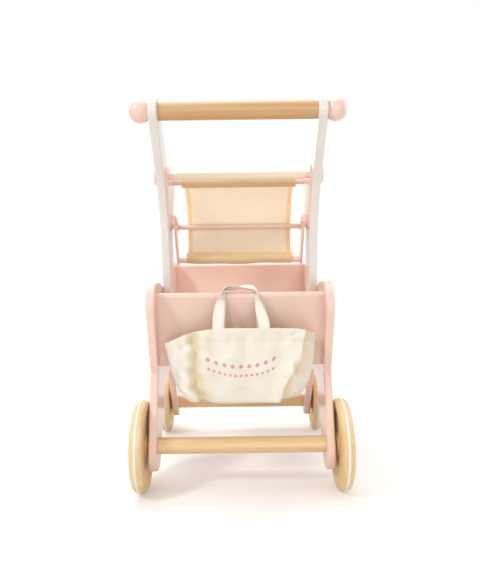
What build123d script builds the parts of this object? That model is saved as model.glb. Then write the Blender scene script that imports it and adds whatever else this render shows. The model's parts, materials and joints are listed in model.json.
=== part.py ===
from build123d import *
import math
import os

# Doll stroller of painted board and turned wood, with a folding fabric hood and a hanging tote bag.
# Millimetres. +Z is up, +Y is the direction of travel and the handle is on the -Y side.
# The origin lies on the floor, under the middle of the stroller's box.

# Driving dimensions: wheels and axles
WHEELBASE = 288.0
REAR_WHEEL_DIAMETER = 134.0
FRONT_WHEEL_DIAMETER = 114.0
WHEEL_WIDTH = 18.0
WHEEL_CORNER = 6.0
RING_WIDTH = 4.4
RING_DEPTH = 4.0
RING_PROUD = 1.5
HUB_RADIUS = 15.0
RIM_WALL = 13.0
DISH_DEPTH = 2.5
DISH_BEVEL = 3.0
AXLE_RADIUS = 4.0
CROSSBAR_RADIUS = 12.0
WASHER_RADIUS = 9.0
WASHER_THICKNESS = 2.7
CAP_RADIUS = 11.0
CAP_HEIGHT = 7.0
CAP_ROUND = 4.5
CAP_WALL = 2.5

# Driving dimensions: body
INNER_WIDTH = 245.0
SIDE_THICKNESS = 12.0
BOARD_THICKNESS = 12.0
BOARD_BASE_ROUND = 2.0
SEAT_THICKNESS = 10.0
SEAT_TOP = 192.0
BOARD_BOTTOM = 180.0
REAR_BOARD_TOP = 290.0
REAR_BOARD_SETBACK = 24.0
REAR_BOARD_LEAN = 8.0
FRONT_BOARD_TOP = 330.0
FRONT_BOARD_SETBACK = 30.0
FRONT_BOARD_LEAN = 7.0
HUMP_TOP = 308.0
SIDE_DIP = 256.0
FRONT_TOP = 334.0
WAIST_HEIGHT = 172.0
WAIST_ROUND = 5.0
ARCH_TOP = 148.0
REAR_LEG_RADIUS = 26.0
REAR_LEG_DROP = 11.0
FRONT_LEG_RADIUS = 22.0
FRONT_LEG_DROP = 5.0
ARCH_SETBACK = 92.0
ARCH_ROUND = 26.0
REAR_WAIST_SETBACK = 12.0
FRONT_WAIST_SETBACK = 16.0
HUMP_OVERHANG = 33.0
HUMP_ROUND = 34.0
HUMP_LENGTH = 103.0
HUMP_FALL = 4.0
HUMP_FRONT_ROUND = 80.0
DIP_SETBACK = 138.0
DIP_ROUND = 60.0
FRONT_OVERHANG = 20.0
FRONT_TOP_LENGTH = 70.0
FRONT_SHOULDER_ROUND = 70.0
FRONT_TOP_ROUND = 26.0
EDGE_ROUND = 2.5

# Driving dimensions: handle arms
ARM_THICKNESS = 13.0
ARM_WIDTH = 48.0
ARM_FOOT_SETBACK = 88.0
ARM_NOTCH_CLEARANCE = 2.0
HANDLE_HEIGHT = 544.0
HANDLE_SETBACK = -28.0
HANDLE_RADIUS = 12.5
HANDLE_TENON_RADIUS = 7.0
ARM_END_RADIUS = 18.0
ARM_BEND_SETBACK = 69.0
ARM_BEND_TAPER = 0.9
ARM_REAR_BEND_DROP = 134.0
ARM_FRONT_BEND_DROP = 110.0
ARM_REAR_BEND_RADIUS = 200.0
ARM_FRONT_BEND_RADIUS = 170.0
KNOB_RADIUS = 16.0
KNOB_FLAT = 4.0
KNOB_BORE = 12.0
BRACE_DROP = 78.0
BRACE_SETBACK = 48.0
BRACE_RADIUS = 6.2
BRACE_TENON_RADIUS = 3.0
COLLAR_RADIUS = 5.0
COLLAR_LENGTH = 8.0
BUTTON_RADIUS = 13.0
BUTTON_HEIGHT = 5.0
BUTTON_ROUND = 3.5
BUTTON_BORE = 2.5

# Driving dimensions: folding hood
HOOD_PIVOT_SETBACK = 80.0
HOOD_PIVOT_DROP = 144.0
HOOD_RADIUS = 74.0
TOP_BOW_ANGLE = 62.0
MIDDLE_BOW_ANGLE = -4.0
LOWER_BOW_ANGLE = -57.0
RIB_THICKNESS = 3.0
RIB_PIVOT_RADIUS = 10.0
RIB_END_RADIUS = 8.0
BRACKET_HEAD_RADIUS = 15.0
BRACKET_ROD_RADIUS = 11.0
BRACKET_PIVOT_RADIUS = 14.0
ROD_RADIUS = 4.5
ROD_TENON_RADIUS = 2.5
PIVOT_PIN_RADIUS = 3.0
PIVOT_HEAD_RADIUS = 6.0
PIVOT_HEAD_HEIGHT = 2.5
PIVOT_PIN_BITE = 9.0
CANOPY_WIDTH = 176.0
CANOPY_THICKNESS = 1.6

# Driving dimensions: tote bag
BAG_TOP_WIDTH = 208.0
BAG_TOP_DEPTH = 44.0
BAG_BASE_WIDTH = 168.0
BAG_BASE_DEPTH = 36.0
BAG_HEIGHT = 108.0
BAG_CORNER = 12.0
BAG_WALL = 2.0
STRAP_DROP = 42.0
STRAP_WIDTH = 18.0
STRAP_SPACING = 62.0
STRAP_THICKNESS = 2.0
STRAP_WRAP_ANGLE = 140.0
STRAP_CROWN_ANGLE = 70.0

# Driving dimensions: screws and clearances
SCREW_RADIUS = 2.0
SCREW_HEAD_RADIUS = 4.2
SCREW_HEAD_HEIGHT = 2.5
SCREW_BITE = 16.0
ARM_SCREW_BITE = 8.0
REAR_SCREW_DROPS = (20.0, 84.0)
FRONT_SCREW_DROPS = (30.0, 120.0)
SEAT_SCREW_REAR_SETBACK = 75.0
SEAT_SCREW_FRONT_SETBACK = 85.0
ARM_SCREW_RISES = (25.0, 70.0)
ARM_SCREW_SHARE = 0.45
FIT = 0.05
RUNNING_GAP = 0.3

# Places worked out from the driving dimensions
REAR_RADIUS = REAR_WHEEL_DIAMETER / 2
FRONT_RADIUS = FRONT_WHEEL_DIAMETER / 2
REAR_AXLE_Y = -(WHEELBASE + FRONT_RADIUS - REAR_RADIUS) / 2
FRONT_AXLE_Y = REAR_AXLE_Y + WHEELBASE
SIDE_IN = INNER_WIDTH / 2
SIDE_OUT = SIDE_IN + SIDE_THICKNESS
ARM_IN = SIDE_IN - ARM_THICKNESS
HANDLE_Y = REAR_AXLE_Y + HANDLE_SETBACK
BRACE_HEIGHT = HANDLE_HEIGHT - BRACE_DROP
HOOD_PIVOT_HEIGHT = HANDLE_HEIGHT - HOOD_PIVOT_DROP
BRACE_Y = REAR_AXLE_Y + BRACE_SETBACK
PIVOT_Y = REAR_AXLE_Y + HOOD_PIVOT_SETBACK
BRACKET_IN = ARM_IN - RIB_THICKNESS
MIDDLE_RIB_IN = BRACKET_IN - RUNNING_GAP - RIB_THICKNESS
LOWER_RIB_IN = MIDDLE_RIB_IN - RUNNING_GAP - RIB_THICKNESS
PIN_HEAD_OUT = LOWER_RIB_IN - RUNNING_GAP


def polar(centre, radius, degrees):
    angle = math.radians(degrees)
    return (centre[0] + radius * math.cos(angle), centre[1] + radius * math.sin(angle))


def crossing(p, heading_p, q, heading_q):
    """Point where two lines of the side view meet, each given by a point and a heading in radians."""
    ux, uy = math.cos(heading_p), math.sin(heading_p)
    vx, vy = math.cos(heading_q), math.sin(heading_q)
    along = ((q[0] - p[0]) * vy - (q[1] - p[1]) * vx) / (ux * vy - uy * vx)
    return (p[0] + along * ux, p[1] + along * uy)


def round_end(before, after, centre, radius):
    """Corner of the side view that becomes a round end about centre when it gets that radius."""
    to_before = math.atan2(centre[1] - before[1], centre[0] - before[0])
    to_after = math.atan2(centre[1] - after[1], centre[0] - after[0])
    heading_before = to_before - math.asin(radius / math.dist(before, centre))
    heading_after = to_after + math.asin(radius / math.dist(after, centre))
    return crossing(before, heading_before, after, heading_after)


def side_face(points, radii):
    """Face in the side view, from (y, z) corners taken anticlockwise and the radius of each corner."""
    return make_face(FilletPolyline(*points, radius=radii, close=True))


def slab(face, x_start, thickness):
    """Solid of a side-view face, from x_start outwards along +X."""
    return extrude(Plane.YZ.offset(x_start) * face, amount=thickness, dir=(1, 0, 0))


def rod(radius, x_start, x_end, y, z):
    length = abs(x_end - x_start)
    return Pos((x_start + x_end) / 2, y, z) * Rot(0, 90, 0) * Cylinder(radius, length)


def turned(points, radii, x_start, y, z):
    """Solid turned about the X axis from (x, radius) corners, then moved to its place."""
    face = make_face(FilletPolyline(*points, radius=radii, close=True))
    return Pos(x_start, y, z) * revolve(face, Axis.X)


def round_rims(solid, radius):
    """Rounds the outline edges on both faces of a slab."""
    rims = [edge for edge in solid.edges() if abs(edge.bounding_box().size.X) < FIT]
    return fillet(rims, radius)


def mirrored(solid):
    return mirror(solid, about=Plane.YZ)


def both_sides(solid):
    return Compound(children=[*solid.solids(), *mirrored(solid).solids()])


# Boards of the box, as outlines in the side view
def leaning_board(foot, lean, top):
    """Corners and radii of a board that leans by lean degrees, from its inner or outer bottom corner."""
    angle = math.radians(lean)
    up = (math.sin(angle), math.cos(angle))
    across = (math.cos(angle), -math.sin(angle))
    height = (top - foot[1]) / up[1]
    base = (foot[0] + BOARD_THICKNESS * across[0], foot[1] + BOARD_THICKNESS * across[1])
    head = (base[0] + height * up[0], base[1] + height * up[1])
    shoulder = (foot[0] + height * up[0], foot[1] + height * up[1])
    top_round = BOARD_THICKNESS / 2 - FIT
    centre = ((head[0] + shoulder[0]) / 2 - BOARD_THICKNESS / 2 * up[0],
              (head[1] + shoulder[1]) / 2 - BOARD_THICKNESS / 2 * up[1])
    return [foot, base, head, shoulder], [BOARD_BASE_ROUND, BOARD_BASE_ROUND, top_round, top_round], centre


rear_foot = (REAR_AXLE_Y + REAR_BOARD_SETBACK, BOARD_BOTTOM)
front_foot = (FRONT_AXLE_Y - FRONT_BOARD_SETBACK, BOARD_BOTTOM)
rear_corners, rear_radii, rear_edge = leaning_board(rear_foot, -REAR_BOARD_LEAN, REAR_BOARD_TOP)
front_corners, front_radii, front_edge = leaning_board(front_foot, FRONT_BOARD_LEAN, FRONT_BOARD_TOP)


def board_line(corner, lean, z):
    """Where the board face through corner stands at height z."""
    return corner[0] + (z - corner[1]) * math.tan(math.radians(lean))


seat_bottom = SEAT_TOP - SEAT_THICKNESS
seat_corners = [
    (board_line(rear_corners[1], -REAR_BOARD_LEAN, seat_bottom), seat_bottom),
    (board_line(front_corners[0], FRONT_BOARD_LEAN, seat_bottom), seat_bottom),
    (board_line(front_corners[0], FRONT_BOARD_LEAN, SEAT_TOP), SEAT_TOP),
    (board_line(rear_corners[1], -REAR_BOARD_LEAN, SEAT_TOP), SEAT_TOP),
]
rear_board = slab(side_face(rear_corners, rear_radii), -SIDE_IN, INNER_WIDTH)
front_board = slab(side_face(front_corners, front_radii), -SIDE_IN, INNER_WIDTH)
seat_board = slab(make_face(Polyline(*seat_corners, close=True)), -SIDE_IN, INNER_WIDTH)

# Side panel: scooped top, two splayed legs and the arch between them
rear_waist = (REAR_AXLE_Y + REAR_WAIST_SETBACK, WAIST_HEIGHT)
front_waist = (FRONT_AXLE_Y - FRONT_WAIST_SETBACK, WAIST_HEIGHT)
arch_rear = (REAR_AXLE_Y + ARCH_SETBACK, ARCH_TOP)
arch_front = (FRONT_AXLE_Y - ARCH_SETBACK, ARCH_TOP)
rear_foot_centre = (REAR_AXLE_Y, REAR_RADIUS - REAR_LEG_DROP)
front_foot_centre = (FRONT_AXLE_Y, FRONT_RADIUS - FRONT_LEG_DROP)
rear_tip = round_end(rear_waist, arch_rear, rear_foot_centre, REAR_LEG_RADIUS)
front_tip = round_end(arch_front, front_waist, front_foot_centre, FRONT_LEG_RADIUS)
hump_rear = (REAR_AXLE_Y - HUMP_OVERHANG, HUMP_TOP)
hump_front = (hump_rear[0] + HUMP_LENGTH, HUMP_TOP - HUMP_FALL)
front_top = (FRONT_AXLE_Y + FRONT_OVERHANG, FRONT_TOP)
side_outline = [
    (rear_waist, WAIST_ROUND),
    (rear_tip, REAR_LEG_RADIUS),
    (arch_rear, ARCH_ROUND),
    (arch_front, ARCH_ROUND),
    (front_tip, FRONT_LEG_RADIUS),
    (front_waist, WAIST_ROUND),
    (front_top, FRONT_TOP_ROUND),
    ((front_top[0] - FRONT_TOP_LENGTH, FRONT_TOP), FRONT_SHOULDER_ROUND),
    ((FRONT_AXLE_Y - DIP_SETBACK, SIDE_DIP), DIP_ROUND),
    (hump_front, HUMP_FRONT_ROUND),
    (hump_rear, HUMP_ROUND),
]
side_panel = slab(side_face(*zip(*side_outline)), SIDE_IN, SIDE_THICKNESS)
side_panel = round_rims(side_panel, EDGE_ROUND)

# Handle arm: upright from the seat board, sweeping back to the handle
arm_rear_foot = (REAR_AXLE_Y + ARM_FOOT_SETBACK, seat_bottom)
arm_front_foot = (arm_rear_foot[0] + ARM_WIDTH, seat_bottom)
arm_rear_bend = (REAR_AXLE_Y + ARM_BEND_SETBACK, HANDLE_HEIGHT - ARM_REAR_BEND_DROP)
arm_front_bend = (arm_rear_bend[0] + ARM_BEND_TAPER * ARM_WIDTH, HANDLE_HEIGHT - ARM_FRONT_BEND_DROP)
arm_tip = round_end(arm_front_bend, arm_rear_bend, (HANDLE_Y, HANDLE_HEIGHT), ARM_END_RADIUS)
arm_outline = [
    (arm_rear_foot, 0),
    (arm_front_foot, 0),
    (arm_front_bend, ARM_FRONT_BEND_RADIUS),
    (arm_tip, ARM_END_RADIUS),
    (arm_rear_bend, ARM_REAR_BEND_RADIUS),
]
arm = slab(side_face(*zip(*arm_outline)), ARM_IN, ARM_THICKNESS)
arm_rims = [
    edge
    for edge in arm.edges()
    if abs(edge.bounding_box().size.X) < FIT and edge.bounding_box().max.Z > SEAT_TOP
]
arm = fillet(arm_rims, EDGE_ROUND)
notch_corners = [
    (arm_rear_foot[0] - ARM_NOTCH_CLEARANCE, seat_bottom),
    (arm_front_foot[0] + ARM_NOTCH_CLEARANCE, seat_bottom),
    (arm_front_foot[0] + ARM_NOTCH_CLEARANCE, SEAT_TOP),
    (arm_rear_foot[0] - ARM_NOTCH_CLEARANCE, SEAT_TOP),
]
notch_depth = ARM_THICKNESS + ARM_NOTCH_CLEARANCE
notch = slab(make_face(Polyline(*notch_corners, close=True)), SIDE_IN - notch_depth, notch_depth)
seat_board -= notch
seat_board -= mirrored(notch)

# Handle bar with a tenon through each arm into a ball knob
handle_end = SIDE_IN + KNOB_BORE
handle_bar = rod(HANDLE_RADIUS, -ARM_IN, ARM_IN, HANDLE_Y, HANDLE_HEIGHT)
handle_bar += rod(HANDLE_TENON_RADIUS, -handle_end, handle_end, HANDLE_Y, HANDLE_HEIGHT)
knob_centre = SIDE_IN + KNOB_RADIUS - KNOB_FLAT
knob = Pos(knob_centre, HANDLE_Y, HANDLE_HEIGHT) * Sphere(KNOB_RADIUS)
knob -= rod(KNOB_RADIUS, SIDE_IN - KNOB_RADIUS, SIDE_IN, HANDLE_Y, HANDLE_HEIGHT)
knob -= rod(HANDLE_TENON_RADIUS + FIT, SIDE_IN, handle_end + FIT, HANDLE_Y, HANDLE_HEIGHT)
arm -= rod(HANDLE_TENON_RADIUS + FIT, ARM_IN, SIDE_IN, HANDLE_Y, HANDLE_HEIGHT)

# Brace dowel between the arms, with a collar inside and a button outside each arm
brace_end = SIDE_IN + BUTTON_BORE
brace_shoulder = BRACKET_IN - COLLAR_LENGTH
brace_bar = rod(BRACE_RADIUS, -brace_shoulder, brace_shoulder, BRACE_Y, BRACE_HEIGHT)
brace_bar += rod(BRACE_TENON_RADIUS, -brace_end, brace_end, BRACE_Y, BRACE_HEIGHT)
brace_hole = rod(BRACE_TENON_RADIUS + FIT, brace_shoulder, brace_end + FIT, BRACE_Y, BRACE_HEIGHT)
brace_collar = rod(COLLAR_RADIUS, brace_shoulder, BRACKET_IN, BRACE_Y, BRACE_HEIGHT) - brace_hole
button_corners = [
    (0, 0),
    (BUTTON_HEIGHT, 0),
    (BUTTON_HEIGHT, BUTTON_RADIUS),
    (0, BUTTON_RADIUS),
]
brace_button = turned(button_corners, [0, 0, BUTTON_ROUND, 0], SIDE_IN, BRACE_Y, BRACE_HEIGHT) - brace_hole
arm -= brace_hole

# Hood: a bracket on each arm and two pairs of ribs that turn on one pivot
pivot = (PIVOT_Y, HOOD_PIVOT_HEIGHT)
top_rod_place = polar(pivot, HOOD_RADIUS, TOP_BOW_ANGLE)
middle_rod_place = polar(pivot, HOOD_RADIUS, MIDDLE_BOW_ANGLE)
lower_rod_place = polar(pivot, HOOD_RADIUS, LOWER_BOW_ANGLE)


def hull_of(*discs):
    """Face of the tight outline round several discs of the side view, each a centre and a radius."""
    circles = [Pos(*centre) * Circle(radius) for centre, radius in discs]
    return make_hull([edge for circle in circles for edge in circle.edges()])


def bow_rod(shoulder, place):
    """Cross rod with a shoulder at each end and a tenon through the rib beside it."""
    bar = rod(ROD_RADIUS, -shoulder, shoulder, *place)
    return bar + rod(ROD_TENON_RADIUS, -shoulder - RIB_THICKNESS, shoulder + RIB_THICKNESS, *place)


def rib(inner, place):
    """Flat rib from the pivot to its rod, with a hole for each."""
    face = hull_of((pivot, RIB_PIVOT_RADIUS), (place, RIB_END_RADIUS))
    strip = slab(face, inner, RIB_THICKNESS)
    strip -= rod(PIVOT_PIN_RADIUS + FIT, inner, inner + RIB_THICKNESS, *pivot)
    return strip - rod(ROD_TENON_RADIUS + FIT, inner, inner + RIB_THICKNESS, *place)


bracket_face = hull_of(
    ((BRACE_Y, BRACE_HEIGHT), BRACKET_HEAD_RADIUS),
    (top_rod_place, BRACKET_ROD_RADIUS),
    (pivot, BRACKET_PIVOT_RADIUS),
)
pin_hole = rod(PIVOT_PIN_RADIUS + FIT, BRACKET_IN, ARM_IN + PIVOT_PIN_BITE + FIT, *pivot)
hood_bracket = slab(bracket_face, BRACKET_IN, RIB_THICKNESS) - pin_hole - brace_hole
hood_bracket -= rod(ROD_TENON_RADIUS + FIT, BRACKET_IN, ARM_IN, *top_rod_place)
middle_rib = rib(MIDDLE_RIB_IN, middle_rod_place)
lower_rib = rib(LOWER_RIB_IN, lower_rod_place)
top_rod = bow_rod(BRACKET_IN, top_rod_place)
middle_rod = bow_rod(MIDDLE_RIB_IN, middle_rod_place)
lower_rod = bow_rod(LOWER_RIB_IN, lower_rod_place)
hood_pin = rod(PIVOT_PIN_RADIUS, PIN_HEAD_OUT, ARM_IN + PIVOT_PIN_BITE, *pivot)
pin_head = rod(PIVOT_HEAD_RADIUS, PIN_HEAD_OUT - PIVOT_HEAD_HEIGHT, PIN_HEAD_OUT, *pivot)
hood_pin += fillet(pin_head.edges().group_by(Axis.X)[0], PIVOT_HEAD_HEIGHT / 2)
arm -= pin_hole


def canopy_span(start, end):
    """Flat span of hood fabric on the outer side of two neighbouring rods."""
    heading = math.atan2(end[1] - start[1], end[0] - start[0])
    outward = math.degrees(heading) + 90
    inner = ROD_RADIUS + RUNNING_GAP
    outer = inner + CANOPY_THICKNESS
    corners = [
        polar(start, inner, outward),
        polar(end, inner, outward),
        polar(end, outer, outward),
        polar(start, outer, outward),
    ]
    return slab(make_face(Polyline(*corners, close=True)), -CANOPY_WIDTH / 2, CANOPY_WIDTH)


canopy_upper = canopy_span(top_rod_place, middle_rod_place)
canopy_lower = canopy_span(middle_rod_place, lower_rod_place)

# Axles, crossbars, washers and caps
WHEEL_IN = SIDE_OUT + WASHER_THICKNESS + RUNNING_GAP
WHEEL_OUT = WHEEL_IN + WHEEL_WIDTH
CAP_IN = WHEEL_OUT + RUNNING_GAP
AXLE_END = CAP_IN + CAP_HEIGHT - CAP_WALL


def axle_set(y, radius):
    """Crossbar, axle, washer and cap of one axle at height radius."""
    hole = rod(AXLE_RADIUS + FIT, -AXLE_END - FIT, AXLE_END + FIT, y, radius)
    crossbar = rod(CROSSBAR_RADIUS, -SIDE_IN, SIDE_IN, y, radius) - hole
    axle = rod(AXLE_RADIUS, -AXLE_END, AXLE_END, y, radius)
    washer = rod(WASHER_RADIUS, SIDE_OUT, SIDE_OUT + WASHER_THICKNESS, y, radius) - hole
    cap_corners = [(0, 0), (CAP_HEIGHT, 0), (CAP_HEIGHT, CAP_RADIUS), (0, CAP_RADIUS)]
    cap = turned(cap_corners, [0, 0, CAP_ROUND, 0], CAP_IN, y, radius) - hole
    return crossbar, axle, washer, cap, hole


rear_crossbar, rear_axle, rear_washer, rear_cap, rear_hole = axle_set(REAR_AXLE_Y, REAR_RADIUS)
front_crossbar, front_axle, front_washer, front_cap, front_hole = axle_set(FRONT_AXLE_Y, FRONT_RADIUS)
side_panel = side_panel - rear_hole - front_hole


def wheel(y, radius):
    """Turned wheel with a dished face on each side and a groove round its tread, and its ring."""
    tread = radius - RING_PROUD
    groove = tread + RING_PROUD - RING_DEPTH
    groove_in = (WHEEL_WIDTH - RING_WIDTH) / 2
    groove_out = groove_in + RING_WIDTH
    bore = AXLE_RADIUS + FIT
    rim = tread - RIM_WALL
    far_dish = WHEEL_WIDTH - DISH_DEPTH
    wheel_outline = [
        ((0, bore), 0),
        ((WHEEL_WIDTH, bore), 0),
        ((WHEEL_WIDTH, HUB_RADIUS), 0),
        ((far_dish, HUB_RADIUS + DISH_BEVEL), 0),
        ((far_dish, rim - DISH_BEVEL), 0),
        ((WHEEL_WIDTH, rim), 0),
        ((WHEEL_WIDTH, tread), WHEEL_CORNER),
        ((groove_out, tread), 0),
        ((groove_out, groove), 0),
        ((groove_in, groove), 0),
        ((groove_in, tread), 0),
        ((0, tread), WHEEL_CORNER),
        ((0, rim), 0),
        ((DISH_DEPTH, rim - DISH_BEVEL), 0),
        ((DISH_DEPTH, HUB_RADIUS + DISH_BEVEL), 0),
        ((0, HUB_RADIUS), 0),
    ]
    ring_round = RING_WIDTH / 2 - FIT
    ring_outline = [
        ((groove_in, groove), 0),
        ((groove_out, groove), 0),
        ((groove_out, radius), ring_round),
        ((groove_in, radius), ring_round),
    ]
    body = turned(*zip(*wheel_outline), WHEEL_IN, y, radius)
    ring = turned(*zip(*ring_outline), WHEEL_IN, y, radius)
    return body, ring


rear_wheel, rear_ring = wheel(REAR_AXLE_Y, REAR_RADIUS)
front_wheel, front_ring = wheel(FRONT_AXLE_Y, FRONT_RADIUS)

# Screws: six through each side panel into the boards, two through each arm into its side panel
screw_places = [polar(rear_edge, drop, 270 + REAR_BOARD_LEAN) for drop in REAR_SCREW_DROPS]
screw_places += [polar(front_edge, drop, 270 - FRONT_BOARD_LEAN) for drop in FRONT_SCREW_DROPS]
screw_places += [
    (REAR_AXLE_Y + SEAT_SCREW_REAR_SETBACK, SEAT_TOP - SEAT_THICKNESS / 2),
    (FRONT_AXLE_Y - SEAT_SCREW_FRONT_SETBACK, SEAT_TOP - SEAT_THICKNESS / 2),
]
head_base = SIDE_OUT - SCREW_HEAD_HEIGHT
screw_tip = SIDE_IN - SCREW_BITE
panel_screws = []
for place in screw_places:
    shank = rod(SCREW_RADIUS, screw_tip, SIDE_OUT, *place)
    panel_screws.append(shank + rod(SCREW_HEAD_RADIUS, head_base, SIDE_OUT, *place))
    hole = rod(SCREW_RADIUS + FIT, screw_tip - FIT, SIDE_OUT, *place)
    hole += rod(SCREW_HEAD_RADIUS + FIT, head_base, SIDE_OUT, *place)
    side_panel -= hole
    for cut in (hole, mirrored(hole)):
        rear_board -= cut
        front_board -= cut
        seat_board -= cut

arm_screw_y = arm_rear_foot[0] + ARM_SCREW_SHARE * ARM_WIDTH
arm_screws = []
for height in [SEAT_TOP + rise for rise in ARM_SCREW_RISES]:
    shank = rod(SCREW_RADIUS, ARM_IN, SIDE_IN + ARM_SCREW_BITE, arm_screw_y, height)
    head = rod(SCREW_HEAD_RADIUS, ARM_IN - SCREW_HEAD_HEIGHT, ARM_IN, arm_screw_y, height)
    arm_screws.append(shank + head)
    hole = rod(SCREW_RADIUS + FIT, ARM_IN, SIDE_IN + ARM_SCREW_BITE + FIT, arm_screw_y, height)
    arm -= hole
    side_panel -= hole

# Tote bag: a tapered open shell under two straps that lie over the rear board's top edge
edge_clear = BOARD_THICKNESS / 2 + RUNNING_GAP
strap_inner_x = STRAP_SPACING / 2 - STRAP_WIDTH / 2
bag_back_y = rear_edge[0] - edge_clear
bag_top = rear_edge[1] - STRAP_DROP
bag_base = bag_top - BAG_HEIGHT


def bag_section(width, depth, inset, z):
    """Rounded section of the bag at height z, with its back on the strap's line and inset all round."""
    centre_y = bag_back_y - depth / 2
    corner = BAG_CORNER - inset
    return Pos(0, centre_y, z) * RectangleRounded(width - 2 * inset, depth - 2 * inset, corner)


bag_body = loft([
    bag_section(BAG_BASE_WIDTH, BAG_BASE_DEPTH, 0, bag_base),
    bag_section(BAG_TOP_WIDTH, BAG_TOP_DEPTH, 0, bag_top),
])
bag_body -= loft([
    bag_section(BAG_BASE_WIDTH, BAG_BASE_DEPTH, BAG_WALL, bag_base + BAG_WALL),
    bag_section(BAG_TOP_WIDTH, BAG_TOP_DEPTH, BAG_WALL, bag_top),
])


def strap(inner_radius, foot):
    """Strap from its foot on the bag, up and over the board's edge, with a crown joining its two legs."""
    outer_radius = inner_radius + STRAP_THICKNESS
    start = 180
    stop = start - STRAP_WRAP_ANGLE
    leg = make_face([
        Line((foot - STRAP_THICKNESS, -STRAP_DROP), (-outer_radius, 0)),
        CenterArc((0, 0), outer_radius, start, -STRAP_WRAP_ANGLE),
        Line(polar((0, 0), outer_radius, stop), polar((0, 0), inner_radius, stop)),
        CenterArc((0, 0), inner_radius, stop, STRAP_WRAP_ANGLE),
        Line((-inner_radius, 0), (foot, -STRAP_DROP)),
        Line((foot, -STRAP_DROP), (foot - STRAP_THICKNESS, -STRAP_DROP)),
    ])
    turn = stop + STRAP_CROWN_ANGLE
    crown = make_face([
        Line(polar((0, 0), inner_radius, turn), polar((0, 0), outer_radius, turn)),
        CenterArc((0, 0), outer_radius, turn, -STRAP_CROWN_ANGLE),
        Line(polar((0, 0), outer_radius, stop), polar((0, 0), inner_radius, stop)),
        CenterArc((0, 0), inner_radius, stop, STRAP_CROWN_ANGLE),
    ])
    place = Pos(*rear_edge)
    one_leg = slab(place * leg, strap_inner_x, STRAP_WIDTH)
    bridge = slab(place * crown, -strap_inner_x - STRAP_WIDTH, 2 * (strap_inner_x + STRAP_WIDTH))
    return one_leg + mirrored(one_leg) + bridge


back_strap_foot = -edge_clear
front_strap_foot = -edge_clear - BAG_TOP_DEPTH + STRAP_THICKNESS
front_strap_radius = edge_clear + STRAP_THICKNESS + RUNNING_GAP
bag_back_strap = strap(edge_clear, back_strap_foot)
bag_front_strap = strap(front_strap_radius, front_strap_foot)

# Files
nodes = {
    "rear_board": rear_board,
    "front_board": front_board,
    "seat_board": seat_board,
    "handle_bar": handle_bar,
    "brace_bar": brace_bar,
    "rear_crossbar": rear_crossbar,
    "front_crossbar": front_crossbar,
    "rear_axle": rear_axle,
    "front_axle": front_axle,
    "hood_top_rod": top_rod,
    "hood_middle_rod": middle_rod,
    "hood_lower_rod": lower_rod,
    "canopy_upper": canopy_upper,
    "canopy_lower": canopy_lower,
    "bag_body": bag_body,
    "bag_back_strap": bag_back_strap,
    "bag_front_strap": bag_front_strap,
    "panel_screws": Compound(children=[s for screw in panel_screws for s in both_sides(screw).solids()]),
    "arm_screws": Compound(children=[s for screw in arm_screws for s in both_sides(screw).solids()]),
}
handed = {
    "side_panel": side_panel,
    "handle_arm": arm,
    "handle_knob": knob,
    "brace_collar": brace_collar,
    "brace_button": brace_button,
    "hood_bracket": hood_bracket,
    "hood_middle_rib": middle_rib,
    "hood_lower_rib": lower_rib,
    "hood_pivot_pin": hood_pin,
    "rear_wheel": rear_wheel,
    "rear_wheel_ring": rear_ring,
    "rear_washer": rear_washer,
    "rear_axle_cap": rear_cap,
    "front_wheel": front_wheel,
    "front_wheel_ring": front_ring,
    "front_washer": front_washer,
    "front_axle_cap": front_cap,
}
for name, solid in handed.items():
    nodes[name + "_right"] = solid
    nodes[name + "_left"] = mirrored(solid)

os.makedirs("parts", exist_ok=True)
for name, shape in nodes.items():
    export_step(shape, f"parts/{name}.step")
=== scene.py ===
import json
import math

import bmesh
import bpy
from mathutils import Matrix, Vector, noise


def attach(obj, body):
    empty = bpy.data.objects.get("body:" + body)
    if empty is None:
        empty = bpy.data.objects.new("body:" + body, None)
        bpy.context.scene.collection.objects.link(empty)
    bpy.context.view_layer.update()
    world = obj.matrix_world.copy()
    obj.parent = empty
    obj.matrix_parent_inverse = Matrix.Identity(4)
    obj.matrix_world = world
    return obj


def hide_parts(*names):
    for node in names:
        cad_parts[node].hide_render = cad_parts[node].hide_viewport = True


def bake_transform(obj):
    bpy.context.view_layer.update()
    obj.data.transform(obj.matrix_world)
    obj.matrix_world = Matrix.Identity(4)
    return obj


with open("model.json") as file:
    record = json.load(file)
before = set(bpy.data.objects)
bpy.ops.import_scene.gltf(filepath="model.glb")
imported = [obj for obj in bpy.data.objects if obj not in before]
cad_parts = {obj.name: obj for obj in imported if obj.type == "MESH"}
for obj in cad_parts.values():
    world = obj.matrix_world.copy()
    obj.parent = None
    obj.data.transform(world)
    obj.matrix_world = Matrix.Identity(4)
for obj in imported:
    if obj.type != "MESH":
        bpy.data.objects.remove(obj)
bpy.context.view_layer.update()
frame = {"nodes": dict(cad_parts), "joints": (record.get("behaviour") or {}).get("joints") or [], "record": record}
nodes = frame["nodes"]
scene = bpy.context.scene

# Places that the scene takes from the frame's joints, in metres
joint_places = {joint["name"]: joint["pos_m"] for joint in frame["joints"]}
REAR_AXLE_Y = joint_places["rear_wheel_left_spin"][1]
HOOD_PIVOT = joint_places["hood_middle_fold"][1:]

# Shader helper
NOISE_LOW, NOISE_HIGH = 0.3, 0.7  # nearly all values of a noise texture lie between these
MIX_FACTOR, MIX_A, MIX_B, MIX_RESULT = 0, 6, 7, 2  # a Mix node's sockets for colours


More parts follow.
